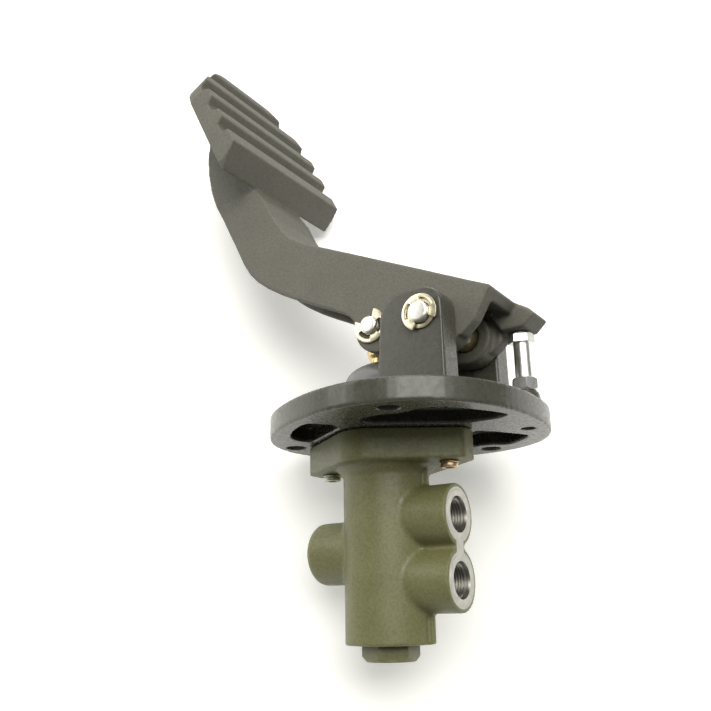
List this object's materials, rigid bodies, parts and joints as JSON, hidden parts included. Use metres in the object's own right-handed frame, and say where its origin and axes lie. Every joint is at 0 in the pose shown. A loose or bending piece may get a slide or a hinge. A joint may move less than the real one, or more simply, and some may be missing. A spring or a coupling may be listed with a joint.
{
  "type": "foot pedal brake valve",
  "caption": "Floor-mounted hydraulic brake valve: a ribbed foot pedal on a lobed cast plate presses a plunger in a ported valve body below.",
  "frame": {"origin": "centre of the mounting plate's underside, which is the face that is bolted down on a floor", "axes": "+Z along the valve axis towards the pedal, +X towards the two stacked ports, Y along the pedal's pivot pin"},
  "size_m": [0.1879, 0.1376, 0.3392],
  "materials": {
    "plate_paint": "semi-gloss paint over a sand casting",
    "pedal_paint": "matt paint over a rough sand casting",
    "body_paint": "satin olive paint over a casting",
    "pin_steel": "bright turned steel",
    "yellow_zinc": "pale yellow zinc plate",
    "bright_zinc": "bright zinc plate",
    "brass": "turned brass",
    "boot_rubber": "slightly shiny blue-grey rubber",
    "black_rubber": "oiled seal rubber",
    "spring_steel": "oiled spring wire"
  },
  "bodies": {
    "valve": {"mounting_plate": "plate_paint", "valve_body": "body_paint", "port_block": "body_paint", "side_port_boss": "body_paint", "end_plug": "body_paint", "plug_seal": "black_rubber", "flange_bolt_left": "yellow_zinc", "flange_bolt_right": "yellow_zinc", "flange_washer_left": "yellow_zinc", "flange_washer_right": "yellow_zinc", "stop_bolt": "bright_zinc", "stop_nut": "bright_zinc", "boot": "boot_rubber", "boot_clamp": "bright_zinc", "pivot_pin": "pin_steel", "pivot_ring_near": "yellow_zinc", "pivot_ring_far": "yellow_zinc", "pivot_washer_near": "yellow_zinc", "pivot_washer_far": "yellow_zinc", "outer_spring": "spring_steel", "inner_spring": "spring_steel", "return_spring": "spring_steel", "plunger_retainer": "pin_steel"},
    "pedal": {"pedal": "pedal_paint", "pivot_bush": "brass", "roller_pin": "pin_steel", "roller_ring_near": "yellow_zinc", "roller_ring_far": "yellow_zinc", "roller_spacer_near": "yellow_zinc", "roller_spacer_far": "yellow_zinc"},
    "roller": {"roller": "pin_steel"},
    "plunger": {"plunger": "brass", "plunger_seal": "black_rubber"},
    "spool": {"spool": "pin_steel", "spring_seat": "pin_steel"}
  },
  "joints": [
    {"name": "pedal_hinge", "type": "hinge", "parent": "valve", "child": "pedal", "pos_m": [0.0284, 0, 0.0464], "axis": [0, -1, 0], "range_deg": [0, 13], "stiffness_Nm_per_rad": 120, "springref_deg": -2.29},
    {"name": "roller_spin", "type": "hinge", "parent": "pedal", "child": "roller", "pos_m": [-0.0076, 0, 0.052], "axis": [0, -1, 0], "continuous": true},
    {"name": "plunger_slide", "type": "slide", "parent": "valve", "child": "plunger", "axis": [0, 0, -1], "range_m": [0, 0.0083], "deforming": ["boot", "outer_spring", "inner_spring"]},
    {"name": "spool_slide", "type": "slide", "parent": "valve", "child": "spool", "axis": [0, 0, -1], "range_m": [0, 0.003], "deforming": ["return_spring"]}
  ],
  "couplings": [
    {"joint": "plunger_slide", "follows": "pedal_hinge", "m_per_rad": 0.036},
    {"joint": "spool_slide", "follows": "pedal_hinge", "m_per_rad": 0.0129}
  ]
}
